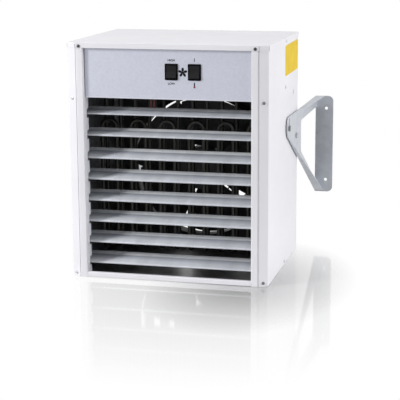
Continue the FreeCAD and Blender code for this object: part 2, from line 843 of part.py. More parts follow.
def make_fan_guard():
    """Concentric wires on four arms, with a middle plate for the motor and a foot on each arm."""
    plane = motor_seat + guard_plate / 2
    pieces = [rod(Vector(0, motor_seat, 0), fan_axis, guard_plate_radius, guard_plate)]
    ring_radius = guard_plate_radius + guard_pitch
    half = guard_wire / 2
    while ring_radius < mouth_radius:
        section = []
        for i in range(6):
            angle = math.radians(60 * i)
            section.append(Vector(ring_radius + half * math.cos(angle), plane + half * math.sin(angle), 0))
        pieces.append(turned(section, Vector(0, 0, 0), fan_axis))
        ring_radius += guard_pitch
    for i in range(4):
        arm = block(0, guard_pad_place, motor_seat, motor_seat + guard_plate,
                    -guard_arm_width / 2, guard_arm_width / 2)
        pad = rod(Vector(guard_pad_place, motor_seat, 0), fan_axis, guard_pad_radius, guard_plate)
        foot = arm.fuse(pad)
        foot.rotate(Vector(0, 0, 0), fan_axis, 45 + 90 * i)
        pieces.append(foot)
    guard = pieces[0].fuse(pieces[1:])
    guard.translate(Vector(0, 0, fan_height))
    return one(guard.cut([screw_hole(*item) for item in guard_places]))


def make_fan_motor():
    """Stator with its base on the guard and its shaft towards the front."""
    seat = Vector(0, motor_seat, fan_height)
    back = Vector(0, -1, 0)
    base = rod(seat, back, motor_base_radius, motor_base)
    core = rod(seat + back * motor_base, back, cup_radius - cup_wall - cup_gap, cup_depth - cup_wall)
    shaft = rod(seat, back, shaft_radius, motor_base + cup_gap + cup_depth + shaft_end)
    return one(base.fuse([core, shaft]))


def blade_section(radius, chord, pitch):
    """Closed cambered section of a blade, square to its radius."""
    half = chord / 2
    top = blade_camber + blade_thickness / 2
    low = blade_camber - blade_thickness / 2
    edge = blade_thickness / 2
    upper = Part.Arc(Vector(-half, edge, 0), Vector(0, top, 0), Vector(half, edge, 0)).toShape()
    lower = Part.Arc(Vector(half, -edge, 0), Vector(0, low, 0), Vector(-half, -edge, 0)).toShape()
    head = Part.LineSegment(Vector(half, edge, 0), Vector(half, -edge, 0)).toShape()
    tail = Part.LineSegment(Vector(-half, -edge, 0), Vector(-half, edge, 0)).toShape()
    wire = Part.Wire([upper, head, lower, tail])
    wire.rotate(Vector(0, 0, 0), Vector(0, 0, 1), pitch)
    wire.translate(Vector(0, 0, radius))
    return wire


def make_fan_impeller():
    """Rotor cup over the stator, with cambered, twisted blades."""
    rear_point = Vector(0, cup_rear, 0)
    back = Vector(0, -1, 0)
    cup = rod(rear_point, back, cup_radius, cup_depth)
    hollow = rod(rear_point, back, cup_radius - cup_wall, cup_depth - cup_wall)
    bore = rod(rear_point, back, shaft_radius + running_gap, cup_depth)
    mid_y = (cup_rear + cup_front) / 2
    root = cup_radius - cup_wall / 2
    middle = (cup_radius + fan_radius) / 2
    middle_pitch = (blade_root_pitch + blade_tip_pitch) / 2
    sections = [blade_section(root, blade_root_chord, blade_root_pitch),
                blade_section(middle, blade_middle_chord, middle_pitch),
                blade_section(fan_radius, blade_tip_chord, blade_tip_pitch)]
    blade = Part.makeLoft(sections, True, False)
    blade = blade.common(rod(Vector(0, -case_depth, 0), fan_axis, fan_radius, 2 * case_depth))
    blades = []
    for i in range(blade_count):
        turned_blade = blade.copy()
        turned_blade.translate(Vector(0, mid_y, 0))
        turned_blade.rotate(Vector(0, 0, 0), fan_axis, blade_start + 360 * i / blade_count)
        blades.append(turned_blade)
    impeller = cup.fuse(blades).cut([hollow, bore])
    impeller.translate(Vector(0, 0, fan_height))
    return one(impeller)


# Electrical compartment

device_y = rear_inner - din_rail_back
device_level = shelf_level + sheet


def make_din_rail():
    """Top-hat rail on the shelf."""
    half = din_rail_width / 2
    brim = half - 4 * sheet
    top = device_level + din_rail_height
    path = [(device_y - half, top), (device_y - brim, top), (device_y - brim, device_level + sheet),
            (device_y + brim, device_level + sheet), (device_y + brim, top), (device_y + half, top)]
    return one(folded(path[::-1], "yz", -din_rail_length / 2, din_rail_length / 2))


def make_contactor():
    width, depth, height = contactor_size
    low_x = device_spacing / 2
    base = device_level + din_rail_height
    body = block(low_x, low_x + width, device_y - depth / 2, device_y + depth / 2, base, base + height)
    top = base + height
    cuts = []
    for side in (-1, 1):
        edge_y = device_y + side * depth / 2
        cuts.append(block(low_x, low_x + width, edge_y - contactor_step, edge_y + contactor_step,
                          top - contactor_step_height, top))
    return one(body.cut(cuts))


def make_terminal_block():
    width, depth, height = terminal_size
    high_x = -device_spacing / 2
    low_x = high_x - width
    base = device_level + din_rail_height
    body = block(low_x, high_x, device_y - depth / 2, device_y + depth / 2, base, base + height)
    pitch = width / terminal_ways
    half_hole = terminal_hole / 2
    top = base + height
    cuts = []
    for i in range(terminal_ways):
        x = low_x + pitch / 2 + pitch * i
        for y in (device_y - terminal_row, device_y + terminal_row):
            cuts.append(block(x - half_hole, x + half_hole, y - half_hole, y + half_hole,
                              top - terminal_hole_depth, top))
    return one(body.cut(cuts))


def make_overheat_cutout():
    """Capsule thermostat seated under the shelf, with two flat tabs."""
    seat = Vector(cutout_x, cutout_y, shelf_level)
    down = Vector(0, 0, -1)
    flange = rod(seat, down, cutout_radius, cutout_flange)
    pieces = [rod(seat, down, cutout_body_radius, cutout_height)]
    for x in tab_places:
        pieces.append(block(x - tab_thickness / 2, x + tab_thickness / 2, cutout_y - tab_width / 2,
                            cutout_y + tab_width / 2, cutout_low - tab_length, cutout_low))
    return one(flange.fuse(pieces))


sleeve_top = cutout_low - seat_gap
sleeve_low = sleeve_top - sleeve_length


def make_cutout_sleeves():
    """Soft sleeves over the push-on terminals of the thermostat."""
    sleeves = []
    up = Vector(0, 0, 1)
    for x in tab_places:
        sleeve = block(x - sleeve_thickness / 2, x + sleeve_thickness / 2, cutout_y - sleeve_width / 2,
                       cutout_y + sleeve_width / 2, sleeve_low, sleeve_top)
        sleeve = sleeve.makeFillet(sleeve_round, edges_along(sleeve, up))
        room = tab_thickness / 2 + screw_hole_gap
        reach = tab_width / 2 + screw_hole_gap
        tab_room = block(x - room, x + room, cutout_y - reach, cutout_y + reach,
                         cutout_low - tab_length - seat_gap, sleeve_top)
        bore = rod(Vector(x, cutout_y, sleeve_low), up, lead_radius + screw_hole_gap / 2, lead_insert)
        sleeves.append(one(sleeve.cut([tab_room, bore])))
    return Part.makeCompound(sleeves)


def make_cutout_leads():
    """Leads that loop under the shelf, pass through it and run to the terminal block."""
    leads = []
    loop_level = sleeve_low - lead_drop
    run_level = shelf_level + lead_rise
    end_y = device_y - terminal_size[1] / 2
    slant = lead_bend * math.sin(math.radians(45))
    for x in tab_places:
        start = Vector(x, cutout_y, sleeve_low + lead_insert - seat_gap)
        loop_start = Vector(x, cutout_y, loop_level)
        loop_low = Vector(x, cutout_y + lead_bend, loop_level - lead_bend)
        loop_end = Vector(x, lead_y, loop_level)
        bend_start = Vector(x, lead_y, run_level - lead_bend)
        bend_middle = Vector(x, lead_y + lead_bend - slant, run_level - lead_bend + slant)
        bend_end = Vector(x, lead_y + lead_bend, run_level)
        edges = [Part.LineSegment(start, loop_start).toShape()]
        edges.append(Part.Arc(loop_start, loop_low, loop_end).toShape())
        edges.append(Part.LineSegment(loop_end, bend_start).toShape())
        edges.append(Part.Arc(bend_start, bend_middle, bend_end).toShape())
        edges.append(Part.LineSegment(bend_end, Vector(x, end_y, run_level)).toShape())
        ring = Part.Wire(Part.makeCircle(lead_radius, start, Vector(0, 0, 1)))
        leads.append(Part.Wire(edges).makePipeShell([ring], True, True))
    return Part.makeCompound(leads)


gland_seat = Vector(gland_x, rear - sheet, gland_height)


def make_cable_gland():
    """Hexagon-bodied inlet with a tapered clamping cap and an open bore."""
    body = hexagon(gland_seat, fan_axis, gland_hex, gland_body)
    cap_seat = gland_seat + fan_axis * gland_body
    cap = Part.makeCone(gland_cap_radius, gland_mouth_radius, gland_cap, cap_seat, fan_axis)
    thread_length = 2 * sheet + gland_nut
    thread = rod(gland_seat - fan_axis * thread_length, fan_axis, gland_thread_radius, thread_length)
    bore_start = gland_seat - fan_axis * thread_length
    bore = rod(bore_start, fan_axis, gland_bore_radius, thread_length + gland_body + gland_cap)
    return one(body.fuse([cap, thread]).cut(bore))


def make_gland_nut():
    seat = gland_seat - fan_axis * sheet
    nut = hexagon(seat, Vector(0, -1, 0), gland_hex, gland_nut)
    hole = rod(seat, Vector(0, -1, 0), gland_thread_radius + screw_hole_gap, gland_nut)
    return one(nut.cut(hole))


# Wall brackets

def make_bracket():
    """Pressed web with a round nose, tapering flanges above and below, and a drilled wall flange."""
    back = wall_plane
    run = back - nose_y
    fall = nose_height - bracket_foot
    slope = math.atan2(fall, run) - math.asin(bracket_nose / math.hypot(run, fall))
    low_tangent = (nose_y - bracket_nose * math.sin(slope),
                   nose_height - bracket_nose * math.cos(slope))
    nose_top = nose_height + bracket_nose
    web = plate([low_tangent, (back, bracket_foot), (back, bracket_top), (nose_y, nose_top),
                 (nose_y, nose_height)], "yz", bracket_inner, bracket_outer)
    across = Vector(1, 0, 0)
    nose = rod(Vector(bracket_inner, nose_y, nose_height), across, bracket_nose, bracket_sheet)
    web = web.fuse(nose)
    window_left = bracket_pivot_y + bracket_web
    window_top = bracket_top - bracket_arm
    strut_rise = bracket_strut / math.cos(slope)
    window_back = back - bracket_sheet

    def strut_level(y):
        return bracket_foot + (back - y) * math.tan(slope) + strut_rise

    window = plate([(window_left, strut_level(window_left)), (window_back, strut_level(window_back)),
                    (window_back, window_top), (window_left, window_top)],
                   "yz", bracket_inner - sheet, bracket_outer + sheet)
    window = window.makeFillet(window_radius, edges_along(window, Vector(1, 0, 0)))
    reach = bracket_outer + bracket_flange
    slot_end = math.radians(slot_start + tilt_range)
    head_room = bolt_head_ratio * clamp_bolt_radius
    taper_start = bracket_pivot_y - slot_radius * math.cos(slot_end) + head_room
    top_flange = plate([(bracket_inner, nose_y), (bracket_outer, nose_y), (bracket_outer, taper_start),
                        (reach, back), (bracket_inner, back)], "xy", 0, bracket_sheet)
    top_tilt = math.degrees(math.atan2(nose_top - bracket_top, run))
    top_flange.translate(Vector(0, -nose_y, -bracket_sheet))
    top_flange.rotate(Vector(0, 0, 0), Vector(1, 0, 0), -top_tilt)
    top_flange.translate(Vector(0, nose_y, nose_top))
    length = math.dist(low_tangent, (back, bracket_foot))
    low_flange = plate([(bracket_inner, 0), (bracket_outer, 0), (reach, length), (bracket_inner, length)],
                       "xy", 0, bracket_sheet)
    low_flange.rotate(Vector(0, 0, 0), Vector(1, 0, 0), -math.degrees(slope))
    low_flange.translate(Vector(0, *low_tangent))
    outer_edge = bracket_inner + wall_flange
    foot = block(bracket_inner, outer_edge, back - bracket_sheet, back, bracket_foot, bracket_top)
    ends = [edge for edge in edges_along(foot, Vector(0, 1, 0)) if edge.CenterOfMass.x > bracket_outer]
    foot = foot.makeFillet(wall_flange_radius, ends)
    beyond = block(bracket_inner - sheet, outer_edge + sheet, back, back + bracket_flange, 0, case_height)
    bracket = web.cut(window).fuse([top_flange, low_flange, foot]).cut(beyond)
    start = bracket_inner - sheet
    pivot = Vector(start, bracket_pivot_y, pivot_height)
    holes = [rod(pivot, across, pivot_bolt_radius + running_gap, 4 * bracket_sheet), make_tilt_slot(start)]
    for place_z in (bracket_foot + wall_hole_margin, bracket_top - wall_hole_margin):
        hole_start = Vector(bracket_inner + wall_hole_inset, back - 2 * bracket_sheet, place_z)
        holes.append(rod(hole_start, Vector(0, 1, 0), wall_hole_radius, 3 * bracket_sheet))
    return one(bracket.cut(holes))


def make_tilt_slot(start):
    """Arc slot about the pivot, with round ends."""
    half = clamp_bolt_radius + slot_gap

    def on_arc(angle, radius):
        turn = math.radians(angle)
        forward = radius * math.cos(turn)
        return Vector(start, bracket_pivot_y - forward, pivot_height + radius * math.sin(turn))

    end = slot_start + tilt_range
    middle = slot_start + tilt_range / 2
    outer = slot_radius + half
    inner = slot_radius - half
    over = math.degrees(half / slot_radius)
    edges = [Part.Arc(on_arc(slot_start, outer), on_arc(middle, outer), on_arc(end, outer)).toShape(),
             Part.Arc(on_arc(end, outer), on_arc(end + over, slot_radius), on_arc(end, inner)).toShape(),
             Part.Arc(on_arc(end, inner), on_arc(middle, inner), on_arc(slot_start, inner)).toShape(),
             Part.Arc(on_arc(slot_start, inner), on_arc(slot_start - over, slot_radius),
                      on_arc(slot_start, outer)).toShape()]
    return Part.Face(Part.Wire(edges)).extrude(Vector(4 * bracket_sheet, 0, 0))


bracket_bolts = ((bracket_pivot_y, pivot_height, pivot_bolt_radius), (clamp_y, clamp_z, clamp_bolt_radius))


def make_bolt(y, z, radius):
    head_seat = bracket_outer + bracket_gap
    across = Vector(1, 0, 0)
    start = inner_half - bolt_nut
    shank = rod(Vector(start, y, z), across, radius, head_seat - start)
    head = hexagon(Vector(head_seat, y, z), across, bolt_head_ratio * radius, bolt_head)
    return one(shank.fuse(head))


def make_bracket_washers():
    washers = []
    for y, z, radius in bracket_bolts:
        seat = Vector(half_width, y, z)
        washer = rod(seat, Vector(1, 0, 0), washer_radius, washer_thickness)
        washers.append(washer.cut(rod(seat, Vector(1, 0, 0), radius + screw_hole_gap, washer_thickness)))
    return Part.makeCompound(both_sides(washers))


def make_bracket_nuts():
    nuts = []
    for y, z, radius in bracket_bolts:
        seat = Vector(inner_half, y, z)
        nut = hexagon(seat, Vector(-1, 0, 0), bolt_head_ratio * radius, bolt_nut)
        nuts.append(one(nut.cut(rod(seat, Vector(-1, 0, 0), radius + screw_hole_gap, bolt_nut))))
    return Part.makeCompound(both_sides(nuts))


def screws(places):
    return Part.makeCompound([screw(*item) for item in places])


def side_screws(places):
    return Part.makeCompound(both_sides([screw(*item) for item in places]))


# Assembly

side_panel = make_side_panel()
rail = make_louvre_rail()
duct_panel = make_duct_panel()
bracket = make_bracket()
pivot_bolt = make_bolt(*bracket_bolts[0])
clamp_bolt = make_bolt(*bracket_bolts[1])
parts = {
    "right_side_panel": side_panel,
    "left_side_panel": mirrored(side_panel),
    "front_frame": make_front_frame(),
    "top_cover": make_top_cover(),
    "bottom_plate": make_bottom_plate(),
    "compartment_shelf": make_compartment_shelf(),
    "rear_panel": make_rear_panel(),
    "fan_collar": make_fan_collar(),
    "control_panel": make_control_panel(),
    "left_switch_housing": make_switch_housing(switch_x[0]),
    "right_switch_housing": make_switch_housing(switch_x[1]),
    "left_rocker": make_rocker(switch_x[0]),
    "right_rocker": make_rocker(switch_x[1]),
    "right_louvre_rail": rail,
    "left_louvre_rail": mirrored(rail),
    "louvre_pivot_pins": make_pivot_pins(),
    "right_duct_panel": duct_panel,
    "left_duct_panel": mirrored(duct_panel),
    "element_carrier": make_element_carrier(),
    "element_insulators": make_element_insulators(),
    "element_terminals": make_element_terminals(),
    "overheat_cutout": make_overheat_cutout(),
    "cutout_sleeves": make_cutout_sleeves(),
    "cutout_leads": make_cutout_leads(),
    "din_rail": make_din_rail(),
    "contactor": make_contactor(),
    "terminal_block": make_terminal_block(),
    "cable_gland": make_cable_gland(),
    "gland_nut": make_gland_nut(),
    "fan_guard": make_fan_guard(),
    "fan_motor": make_fan_motor(),
    "fan_impeller": make_fan_impeller(),
    "right_bracket": bracket,
    "left_bracket": mirrored(bracket),
    "bracket_pivot_bolts": Part.makeCompound(both_sides([pivot_bolt])),
    "bracket_clamp_bolts": Part.makeCompound(both_sides([clamp_bolt])),
    "bracket_washers": make_bracket_washers(),
    "bracket_nuts": make_bracket_nuts(),
    "bevel_screws": side_screws(bevel_places),
    "cover_screws": side_screws(cover_places),
    "side_screws": side_screws(side_places),
    "rear_screws": side_screws(rear_places),
    "guard_screws": screws(guard_places),
}
for number in range(louvre_count):
    parts["louvre_%d" % (number + 1)] = make_louvre(number)
for number in range(element_count):
    parts["heating_element_%d" % (number + 1)] = make_heating_element(number)

os.makedirs("parts", exist_ok=True)
for name, shape in parts.items():
    shape.exportStep("parts/%s.step" % name)
    state = "valid" if shape.isValid() else "INVALID"
    print(name, len(shape.Solids), round(shape.Volume / 1000, 2), "cm3", state)
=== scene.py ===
import math

import bmesh
import bpy
from mathutils import Matrix, Vector


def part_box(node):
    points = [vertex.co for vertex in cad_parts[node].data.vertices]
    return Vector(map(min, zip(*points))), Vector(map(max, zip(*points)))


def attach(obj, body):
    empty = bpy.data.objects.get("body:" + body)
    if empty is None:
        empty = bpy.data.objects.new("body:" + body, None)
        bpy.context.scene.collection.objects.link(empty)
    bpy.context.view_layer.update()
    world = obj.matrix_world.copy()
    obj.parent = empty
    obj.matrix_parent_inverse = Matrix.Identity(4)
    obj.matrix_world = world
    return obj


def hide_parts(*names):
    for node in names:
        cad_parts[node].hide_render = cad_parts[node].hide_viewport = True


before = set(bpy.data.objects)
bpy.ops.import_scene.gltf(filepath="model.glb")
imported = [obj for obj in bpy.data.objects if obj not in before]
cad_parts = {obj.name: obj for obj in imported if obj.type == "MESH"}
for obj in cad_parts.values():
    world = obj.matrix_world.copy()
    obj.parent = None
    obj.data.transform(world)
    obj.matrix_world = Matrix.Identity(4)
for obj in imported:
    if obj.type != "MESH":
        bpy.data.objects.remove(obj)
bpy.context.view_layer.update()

# Casing sheets: two side panels, the front frame with its notched returns, and the lid.
# Steel sheet, folded on a press brake and finished with a white powder coat, which has a faint
# orange-peel skin and slightly uneven gloss; a painted shade darkens the seam at the right bevel.


def new_finish(name):
    """Procedural material: itself, its node tree, its shader and its object coordinates."""
    finish = bpy.data.materials.new(name)
    finish.use_nodes = True
    tree = finish.node_tree
    coords = tree.nodes.new("ShaderNodeTexCoord")
    return finish, tree, tree.nodes["Principled BSDF"], coords.outputs["Object"]


def add_noise(tree, vector, scale, detail=2.0, stretch=None):
    """Noise value over the piece, stretched along an axis where the grain is."""
    if stretch:
        mapping = tree.nodes.new("ShaderNodeMapping")
        mapping.inputs["Scale"].default_value = stretch
        tree.links.new(vector, mapping.inputs["Vector"])
        vector = mapping.outputs["Vector"]
    noise = tree.nodes.new("ShaderNodeTexNoise")
    noise.inputs["Scale"].default_value = scale
    noise.inputs["Detail"].default_value = detail
    tree.links.new(vector, noise.inputs["Vector"])
    return noise.outputs["Fac"]


def add_ramp(tree, value, dark, light, socket, start=0.3, end=0.7):
    """Colour between two tones, from a value, into a socket."""
    ramp = tree.nodes.new("ShaderNodeValToRGB")
    ramp.color_ramp.elements[0].position = start
    ramp.color_ramp.elements[1].position = end
    ramp.color_ramp.elements[0].color = (*dark, 1.0)
    ramp.color_ramp.elements[1].color = (*light, 1.0)
    tree.links.new(value, ramp.inputs["Fac"])
    tree.links.new(ramp.outputs["Color"], socket)
    return ramp


def add_mottle(tree, shader, vector, scale, dark, light, detail=3.0, start=0.3, end=0.7):
    """Base colour that wanders between two tones."""
    noise = add_noise(tree, vector, scale, detail)
    return add_ramp(tree, noise, dark, light, shader.inputs["Base Color"], start, end)


def add_gloss(tree, shader, value, smooth, rough):
    """Roughness between two limits, from a value around the middle."""
    limits = tree.nodes.new("ShaderNodeMapRange")
    limits.inputs["From Min"].default_value = 0.3
    limits.inputs["From Max"].default_value = 0.7
    limits.inputs["To Min"].default_value = smooth
    limits.inputs["To Max"].default_value = rough
    tree.links.new(value, limits.inputs["Value"])
    tree.links.new(limits.outputs["Result"], shader.inputs["Roughness"])


def add_grain(tree, shader, vector, scale, strength, height, detail=2.0, stretch=None):
    """Fine relief on the surface."""
    bump = tree.nodes.new("ShaderNodeBump")
    bump.inputs["Strength"].default_value = strength
    bump.inputs["Distance"].default_value = height
    tree.links.new(add_noise(tree, vector, scale, detail, stretch), bump.inputs["Height"])
    tree.links.new(bump.outputs["Normal"], shader.inputs["Normal"])


def add_band(tree, vector, axis, middle, half_width):
    """Value that is 1 in a narrow band across an axis, and 0 elsewhere."""
    split = tree.nodes.new("ShaderNodeSeparateXYZ")
    tree.links.new(vector, split.inputs["Vector"])
    band = tree.nodes.new("ShaderNodeMath")
    band.operation = "COMPARE"
    band.inputs[1].default_value = middle
    band.inputs[2].default_value = half_width
    tree.links.new(split.outputs[axis], band.inputs[0])
    return band.outputs["Value"]


def add_tint(tree, shader, value, ramp, colour):
    """Second base colour over a ramp, where a value is 1."""
    tint = tree.nodes.new("ShaderNodeMix")
    tint.data_type = "RGBA"
    tint.inputs["B"].default_value = (*colour, 1.0)
    tree.links.new(value, tint.inputs["Factor"])
    tree.links.new(ramp.outputs["Color"], tint.inputs["A"])
    tree.links.new(tint.outputs["Result"], shader.inputs["Base Color"])


def dress(names, finish):
    """Gives CAD pieces their finish."""
    for name in names:
        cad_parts[name].data.materials[0] = finish


seam_place = 0.1786
seam_half_width = 0.0014
seam_painted_shade = (0.66, 0.66, 0.675)
for name, has_seam_shade, pieces in (
        ("white_powder_coat", True, ["right_side_panel", "left_side_panel", "front_frame"]),
        ("lid_powder_coat", False, ["top_cover"])):
    powder_coat, tree, shader, place = new_finish(name)
    coat_white = add_mottle(tree, shader, place, scale=7.0, dark=(0.765, 0.76, 0.8),
                            light=(0.8, 0.795, 0.836), start=0.35, end=0.65)
    # The seam at the right bevel is darkened by a painted shade.
    if has_seam_shade:
        seam = add_band(tree, place, "X", seam_place, seam_half_width)
        add_tint(tree, shader, seam, coat_white, seam_painted_shade)
    add_gloss(tree, shader, add_noise(tree, place, scale=45.0, detail=3.0), smooth=0.34, rough=0.44)
    add_grain(tree, shader, place, scale=900.0, strength=0.08, height=0.0004)
    shader.inputs["Specular IOR Level"].default_value = 0.45
    dress(pieces, powder_coat)

# Inner sheets: compartment shelf, louvre rails, duct panels, element carrier, switchgear rail.
# Hot-dip galvanized sheet with a crystal spangle, darkened to a dark grey as painted shade, fixed
# behind the white panels.

feather_fineness = 2.5
feather_reach = 0.006


def add_spangle(tree, shader, vector, scale, dark, light, smooth, rough, metal):
    """Galvanized face: each zinc crystal has its own tone and gloss, and a feathered border."""
    feather = tree.nodes.new("ShaderNodeTexNoise")
    feather.inputs["Scale"].default_value = scale * feather_fineness
    feather.inputs["Detail"].default_value = 3.0
    tree.links.new(vector, feather.inputs["Vector"])
    shift = tree.nodes.new("ShaderNodeVectorMath")
    shift.operation = "MULTIPLY_ADD"
    shift.inputs[1].default_value = (feather_reach, feather_reach, feather_reach)
    tree.links.new(feather.outputs["Color"], shift.inputs[0])
    tree.links.new(vector, shift.inputs[2])
    crystals = tree.nodes.new("ShaderNodeTexVoronoi")
    crystals.inputs["Scale"].default_value = scale
    tree.links.new(shift.outputs["Vector"], crystals.inputs["Vector"])
    split = tree.nodes.new("ShaderNodeSeparateColor")
    tree.links.new(crystals.outputs["Color"], split.inputs["Color"])
    add_gloss(tree, shader, split.outputs["Green"], smooth, rough)
    shader.inputs["Metallic"].default_value = metal
    return add_ramp(tree, split.outputs["Red"], dark, light, shader.inputs["Base Color"],
                    start=0.1, end=0.9)


shade_dark_zinc_sheet, tree, shader, place = new_finish("galvanized_sheet")
add_spangle(tree, shader, place, scale=85.0, dark=(0.11, 0.115, 0.125),
            light=(0.16, 0.165, 0.175), smooth=0.42, rough=0.52, metal=0.6)
add_grain(tree, shader, place, scale=420.0, strength=0.05, height=0.0003)
dress(["compartment_shelf", "right_louvre_rail", "left_louvre_rail", "right_duct_panel",
       "left_duct_panel", "element_carrier", "din_rail"], shade_dark_zinc_sheet)

# Floor plate: the tray under the louvre, the one inner sheet that daylight reaches.
# Bright galvanized sheet with a smooth rolled face, screwed between the side panels.

floor_zinc, tree, shader, place = new_finish("floor_plate_galvanized_sheet")
add_spangle(tree, shader, place, scale=85.0, dark=(0.42, 0.42, 0.42),
            light=(0.46, 0.46, 0.46), smooth=0.3, rough=0.33, metal=0.9)
dress(["bottom_plate"], floor_zinc)

# Rear panel and fan collar: the flat back of the casing and the bell mouth spun for the fan.
# Steel sheet coloured a matt near black, screwed to the rear flanges of the side panels.

back_near_black, tree, shader, place = new_finish("matt_near_black")
add_mottle(tree, shader, place, scale=25.0, dark=(0.013, 0.013, 0.014),
           light=(0.021, 0.021, 0.022))
add_gloss(tree, shader, add_noise(tree, place, scale=60.0, detail=3.0), smooth=0.52, rough=0.64)
add_grain(tree, shader, place, scale=800.0, strength=0.1, height=0.0003)
dress(["rear_panel", "fan_collar"], back_near_black)

# Control panel: a recessed plate above the louvre, folded back along its foot onto the shelf.
# Bright galvanized sheet with a fine, faint spangle and rolling marks, and a painted highlight
# along the fold.

fold_rise = 0.0012
fold_half_width = 0.0014
fold_painted_highlight = (0.64, 0.655, 0.72)
panel_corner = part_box("control_panel")[0]
panel_zinc, tree, shader, place = new_finish("panel_galvanized_sheet")
sheet = add_spangle(tree, shader, place, scale=420.0, dark=(0.485, 0.5, 0.573),
                    light=(0.523, 0.538, 0.616), smooth=0.4, rough=0.46, metal=0.6)
# A painted highlight brightens a narrow band along the fold at the panel's foot.
fold = add_band(tree, place, "Z", panel_corner.z + fold_rise, fold_half_width)
add_tint(tree, shader, fold, sheet, fold_painted_highlight)
add_grain(tree, shader, place, scale=60.0, strength=0.05, height=0.0004, detail=3.0,
          stretch=(0.4, 6.0, 6.0))
dress(["control_panel"], panel_zinc)

# Rocker switches: two housings snapped into the panel, and the rockers that tip in them.
# Black glass-filled nylon with a fine spark-eroded grain; the rockers are a touch glossier.

housing_black, tree, shader, place = new_finish("switch_housing_black")
add_mottle(tree, shader, place, scale=300.0, dark=(0.0018, 0.0018, 0.0024),
           light=(0.0035, 0.0035, 0.0044), detail=2.0)
shader.inputs["Roughness"].default_value = 0.5
shader.inputs["Specular IOR Level"].default_value = 0.04
add_grain(tree, shader, place, scale=2600.0, strength=0.12, height=0.0002)
dress(["left_switch_housing", "right_switch_housing"], housing_black)

rocker_black, tree, shader, place = new_finish("rocker_black")
add_mottle(tree, shader, place, scale=200.0, dark=(0.006, 0.006, 0.007),
           light=(0.0105, 0.0105, 0.012), detail=2.0)
shader.inputs["Roughness"].default_value = 0.36
shader.inputs["Specular IOR Level"].default_value = 0.16
add_grain(tree, shader, place, scale=1800.0, strength=0.06, height=0.0002)
dress(["left_rocker", "right_rocker"], rocker_black)

# Panel print: a rotor sign between the switches, the fan speeds beside the first switch,
# a bar for on and a small thermometer at the second. Screen-printed ink, slightly raised.

ink_thickness = 0.00008
disc_segments = 24
rotor_centre = (0.031, 0.4064)
petals = 5
petal_offset = 0.0054
petal_size = (0.0049, 0.0078)
hub_size = (0.0042, 0.0042)
on_centre = (0.0538, 0.4301)
on_size = (0.0014, 0.0066)
stem_centre = (0.0536, 0.3842)
stem_size = (0.0022, 0.0066)
bulb_centre = (0.0536, 0.3791)
bulb_size = (0.0042, 0.0042)
words_across = 0.0088
letter_size = 0.0059
letter_gain = 0.00016
stand_up = Matrix.Rotation(math.radians(90), 4, "X")


def set_print(bm, verts, centre, size, turn=0.0):
    """Stands a flat shape of unit size on the panel's face, at its size and place."""
    scale = Matrix.Diagonal((size[0], 1, size[1], 1))
    spin = Matrix.Rotation(turn, 4, "Y")
    move = Matrix.Translation((centre[0], panel_corner.y, centre[1]))
    bmesh.ops.transform(bm, matrix=move @ spin @ scale @ stand_up, verts=verts)


def add_disc(bm, centre, size, turn=0.0):
    """Ellipse facing the front, turned about its middle."""
    disc = bmesh.ops.create_circle(bm, cap_ends=True, radius=0.5, segments=disc_segments)
    set_print(bm, disc["verts"], centre, size, turn)


def add_bar(bm, centre, size):
    """Upright bar facing the front."""
    bar = bmesh.ops.create_grid(bm, x_segments=1, y_segments=1, size=0.5)
    set_print(bm, bar["verts"], centre, size)


def print_film(name, bm, ink):
    """Makes a flat outline on the panel a thin film of ink."""
    film = bmesh.ops.extrude_face_region(bm, geom=bm.faces[:])
    raised = [item for item in film["geom"] if isinstance(item, bmesh.types.BMVert)]
    bmesh.ops.translate(bm, verts=raised, vec=(0, -ink_thickness, 0))
    bmesh.ops.recalc_face_normals(bm, faces=bm.faces[:])
    mesh = bpy.data.meshes.new(name)
    bm.to_mesh(mesh)
    bm.free()
    mesh.materials.append(ink)
    piece = bpy.data.objects.new(name, mesh)
    bpy.context.scene.collection.objects.link(piece)
    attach(piece, "casing")


black_ink, tree, shader, place = new_finish("black_ink")
add_mottle(tree, shader, place, scale=700.0, dark=(0.003, 0.003, 0.0035),
           light=(0.006, 0.006, 0.007), detail=2.0)
shader.inputs["Roughness"].default_value = 0.5
shader.inputs["Specular IOR Level"].default_value = 0.1
red_ink, tree, shader, place = new_finish("red_ink")
add_mottle(tree, shader, place, scale=700.0, dark=(0.17, 0.025, 0.04),
           light=(0.23, 0.034, 0.052), detail=2.0)
shader.inputs["Roughness"].default_value = 0.5

bm = bmesh.new()
for petal in range(petals):
    angle = math.radians(360 / petals * petal)
    petal_centre = (rotor_centre[0] + petal_offset * math.sin(angle),
                    rotor_centre[1] + petal_offset * math.cos(angle))
    add_disc(bm, petal_centre, petal_size, angle)
add_disc(bm, rotor_centre, hub_size)
print_film("rotor_sign", bm, black_ink)

bm = bmesh.new()
add_bar(bm, on_centre, on_size)
print_film("on_sign", bm, black_ink)
bm = bmesh.new()
add_bar(bm, stem_centre, stem_size)
print_film("thermometer_stem", bm, black_ink)
bm = bmesh.new()
add_disc(bm, bulb_centre, bulb_size)
print_film("thermometer_bulb", bm, red_ink)

for name, word, word_level in (("fast_word", "HIGH", 0.4287), ("slow_word", "LOW", 0.3847)):
    letters = bpy.data.curves.new(name, "FONT")
    letters.body = word
    letters.align_x = "CENTER"
    letters.align_y = "CENTER"
    letters.size = letter_size
    letters.offset = letter_gain
    text = bpy.data.objects.new(name + "_text", letters)
    bpy.context.scene.collection.objects.link(text)
    bpy.context.view_layer.update()
    set_text = text.evaluated_get(bpy.context.evaluated_depsgraph_get())
    word_mesh = bpy.data.meshes.new_from_object(set_text)
    bpy.data.objects.remove(text)
    bm = bmesh.new()
    bm.from_mesh(word_mesh)
    move = Matrix.Translation((words_across, panel_corner.y, word_level))
    bmesh.ops.transform(bm, matrix=move @ stand_up, verts=bm.verts[:])
    print_film(name, bm, black_ink)
